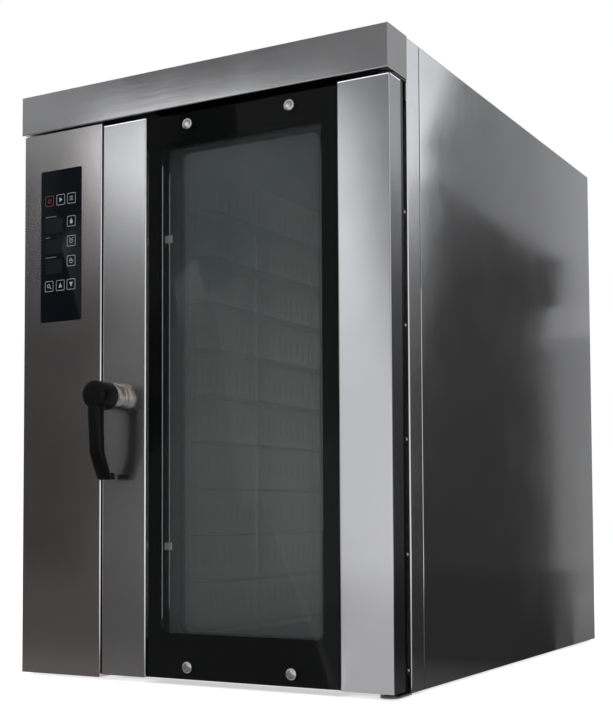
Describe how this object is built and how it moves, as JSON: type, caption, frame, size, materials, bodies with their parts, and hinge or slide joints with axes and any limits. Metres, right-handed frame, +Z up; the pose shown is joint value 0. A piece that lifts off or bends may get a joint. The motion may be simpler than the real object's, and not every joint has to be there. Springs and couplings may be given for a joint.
{
  "type": "convection oven",
  "caption": "Tall stainless convection oven with a side-hung glass door, a lever handle, a control column on the left and a rack of tray levels inside.",
  "frame": {"origin": "centre of the cabinet's footprint, without door and column, on the underside of the base rails", "axes": "+X to the right seen from the front, +Y from the front towards the back, +Z up"},
  "size_m": [0.9505, 1.432, 1.378],
  "materials": {
    "stainless": "fine brushed",
    "stainless_bright": "fine brushed, bright",
    "galvanised": "dull galvanised",
    "chrome": "polished",
    "door_glass": "tinted, glossy",
    "control_glass": "opaque black, glossy",
    "lamp_glass": "frosted",
    "black_rubber": "matte",
    "black_plastic": "satin",
    "grey_plastic": "matte",
    "circuit_board": "satin",
    "mineral_wool": "matte",
    "motor_paint": "satin",
    "heater_sheath": "heat-darkened",
    "copper": "plain copper",
    "bronze": "plain bronze"
  },
  "bodies": {
    "cabinet": {"base_frame": "galvanised", "base_pan": "galvanised", "front_frame": "stainless", "side_panel_left": "stainless", "side_panel_right": "stainless", "top_panel": "stainless", "rear_panel": "galvanised", "rear_cover": "stainless", "hood": "stainless", "control_column": "stainless", "control_glass": "control_glass", "control_board": "circuit_board", "component_plate": "galvanised", "contactors": "black_plastic", "terminal_block": "grey_plastic", "cavity_liner": "stainless_bright", "insulation": "mineral_wool", "side_duct_left": "stainless_bright", "side_duct_right": "stainless_bright", "rear_baffle": "stainless_bright", "rack_uprights_left": "stainless", "rack_uprights_right": "stainless", "tray_slides_left": "stainless_bright", "tray_slides_right": "stainless_bright", "ring_heaters": "heater_sheath", "motor_plate": "galvanised", "motor_upper": "motor_paint", "motor_lower": "motor_paint", "water_valve": "grey_plastic", "steam_pipe": "copper", "temperature_probe": "stainless_bright", "lamp_lens": "lamp_glass", "lamp_housing": "galvanised", "flue_pipe": "stainless", "drain_pipe": "galvanised", "cable_gland": "black_plastic", "hinge_bracket_top": "stainless", "hinge_bracket_bottom": "stainless", "catch_bracket": "stainless", "catch_rollers": "black_plastic", "frame_screws": "chrome"},
    "door": {"door_stile_left": "stainless_bright", "door_stile_right": "stainless_bright", "door_rail_top": "galvanised", "door_rail_bottom": "galvanised", "door_inner_skin": "stainless", "door_glass_outer": "door_glass", "door_glass_inner": "door_glass", "inner_glass_seal": "black_rubber", "inner_glass_clips": "stainless_bright", "glass_bolts": "chrome", "door_gasket": "black_rubber", "hinge_bushes": "bronze", "handle_collar": "chrome"},
    "handle": {"handle_lever": "black_plastic", "handle_spindle": "stainless_bright"},
    "fan_upper": {"fan_wheel_upper": "stainless_bright", "motor_shaft_upper": "stainless_bright"},
    "fan_lower": {"fan_wheel_lower": "stainless_bright", "motor_shaft_lower": "stainless_bright"}
  },
  "joints": [
    {"name": "door_hinge", "type": "hinge", "parent": "cabinet", "child": "door", "pos_m": [0.45, -0.684, 0.6], "axis": [0, 0, 1], "range_deg": [0, 170]},
    {"name": "handle_turn", "type": "hinge", "parent": "door", "child": "handle", "pos_m": [-0.202, -0.715, 0.625], "axis": [0, -1, 0], "range_deg": [0, 90]},
    {"name": "fan_upper_spin", "type": "hinge", "parent": "cabinet", "child": "fan_upper", "pos_m": [0.1155, 0.13, 0.91], "axis": [0, 1, 0], "continuous": true},
    {"name": "fan_lower_spin", "type": "hinge", "parent": "cabinet", "child": "fan_lower", "pos_m": [0.1155, 0.13, 0.36], "axis": [0, 1, 0], "continuous": true}
  ]
}
